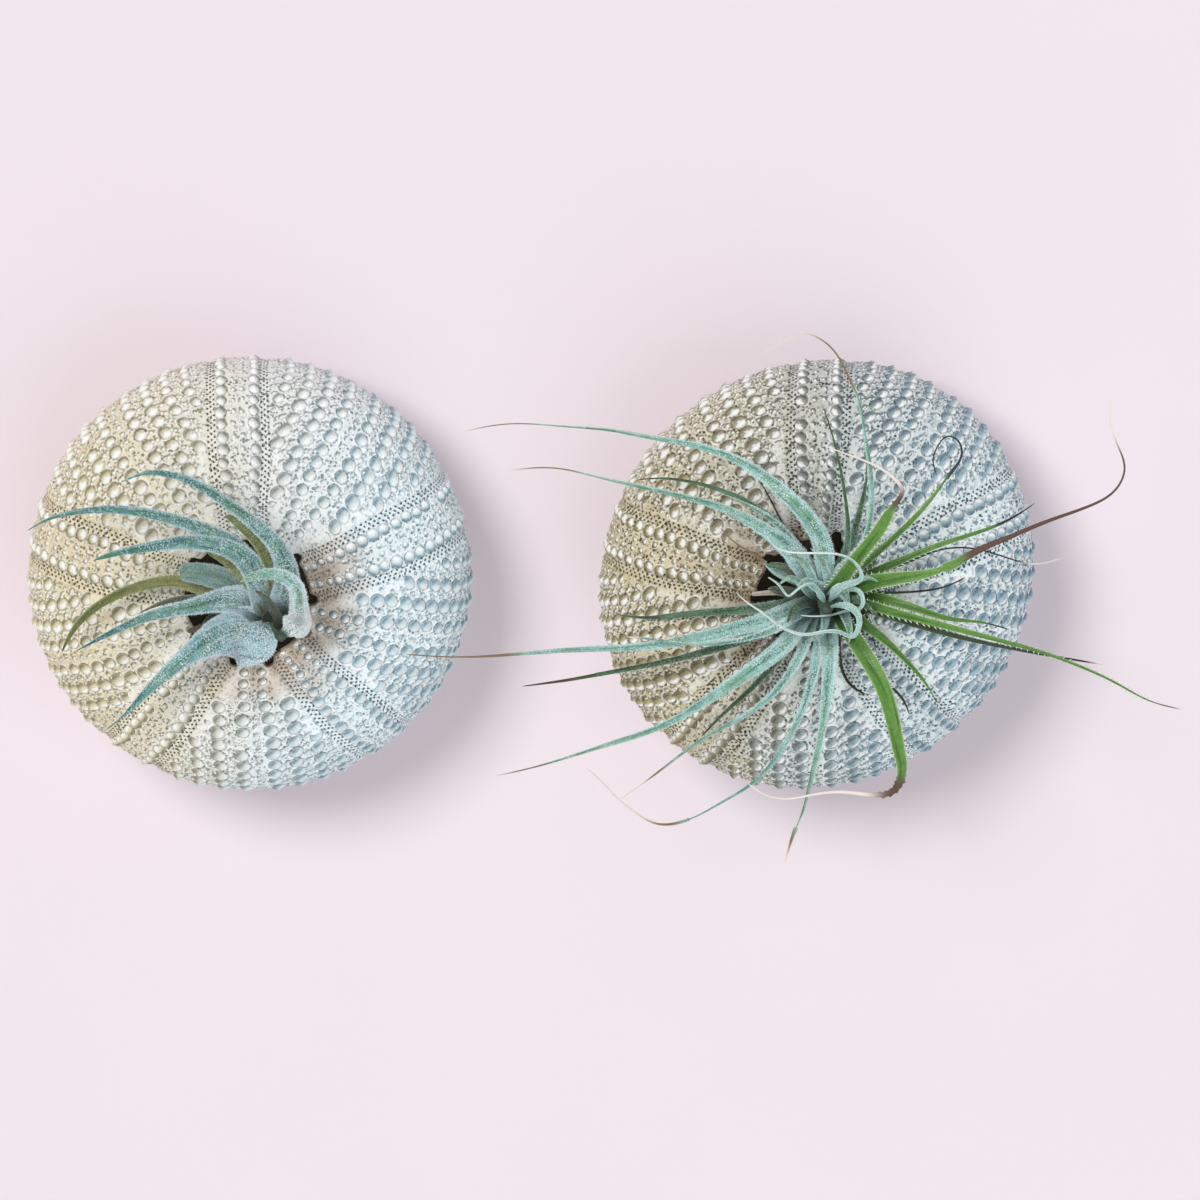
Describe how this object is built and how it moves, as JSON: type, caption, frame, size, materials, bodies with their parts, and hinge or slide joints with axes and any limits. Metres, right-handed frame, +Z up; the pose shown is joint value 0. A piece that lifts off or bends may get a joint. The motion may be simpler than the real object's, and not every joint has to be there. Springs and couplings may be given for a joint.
{
  "type": "air plant holder",
  "caption": "Pair of dried sea urchin shells, standing mouth up, each holding a small air plant that lifts out.",
  "frame": {"origin": "on the surface that the shells stand on, under the middle of the pair", "axes": "+Z up, +X along the pair from the left holder to the right one, +Y away from the front"},
  "size_m": [0.2071, 0.0986, 0.0626],
  "materials": {
    "left_test": "matte chalky shell",
    "right_test": "matte chalky shell",
    "silver_leaf": "grey green leaf with silvery scales",
    "olive_leaf": "olive leaf with few scales",
    "green_leaf": "fresh green leaf, slightly waxy",
    "dry_leaf": "dried dark leaf",
    "pale_leaf": "pale papery leaf",
    "woody": "dry woody stem"
  },
  "bodies": {
    "left_shell": {"left_shell": "left_test"},
    "left_plant": {"left_leaf_01": "silver_leaf", "left_leaf_02": "silver_leaf", "left_leaf_03": "olive_leaf", "left_leaf_04": "silver_leaf", "left_leaf_05": "silver_leaf", "left_leaf_06": "silver_leaf", "left_leaf_07": "silver_leaf", "left_leaf_08": "silver_leaf", "left_leaf_09": "silver_leaf", "left_leaf_10": "silver_leaf", "left_leaf_11": "silver_leaf", "left_roots": "woody", "left_stem": "woody"},
    "right_shell": {"right_shell": "right_test"},
    "right_plant": {"right_leaf_01": "dry_leaf", "right_leaf_02": "dry_leaf", "right_leaf_03": "silver_leaf", "right_leaf_04": "silver_leaf", "right_leaf_05": "silver_leaf", "right_leaf_06": "silver_leaf", "right_leaf_07": "dry_leaf", "right_leaf_08": "dry_leaf", "right_leaf_09": "dry_leaf", "right_leaf_10": "green_leaf", "right_leaf_11": "silver_leaf", "right_leaf_12": "silver_leaf", "right_leaf_13": "silver_leaf", "right_leaf_14": "silver_leaf", "right_leaf_15": "silver_leaf", "right_leaf_16": "silver_leaf", "right_leaf_17": "green_leaf", "right_leaf_18": "green_leaf", "right_leaf_19": "silver_leaf", "right_leaf_20": "silver_leaf", "right_leaf_21": "green_leaf", "right_leaf_22": "silver_leaf", "right_leaf_23": "silver_leaf", "right_leaf_24": "silver_leaf", "right_leaf_25": "green_leaf", "right_leaf_26": "green_leaf", "right_leaf_27": "silver_leaf", "right_leaf_28": "silver_leaf", "right_leaf_29": "green_leaf", "right_leaf_30": "green_leaf", "right_leaf_31": "silver_leaf", "right_leaf_32": "green_leaf", "right_leaf_33": "pale_leaf", "right_leaf_34": "pale_leaf", "right_leaf_35": "pale_leaf", "right_leaf_36": "pale_leaf", "right_roots": "woody", "right_stem": "woody"}
  },
  "joints": [
    {"name": "left_plant_lift", "type": "slide", "parent": "left_shell", "child": "left_plant", "axis": [0, 0, 1], "range_m": [0, 0.05]},
    {"name": "right_shell_lift", "type": "slide", "parent": "left_shell", "child": "right_shell", "axis": [0, 0, 1], "range_m": [0, 0.06]},
    {"name": "right_plant_lift", "type": "slide", "parent": "right_shell", "child": "right_plant", "axis": [-0.0409, 0.077, 0.9962], "range_m": [0, 0.05]}
  ]
}
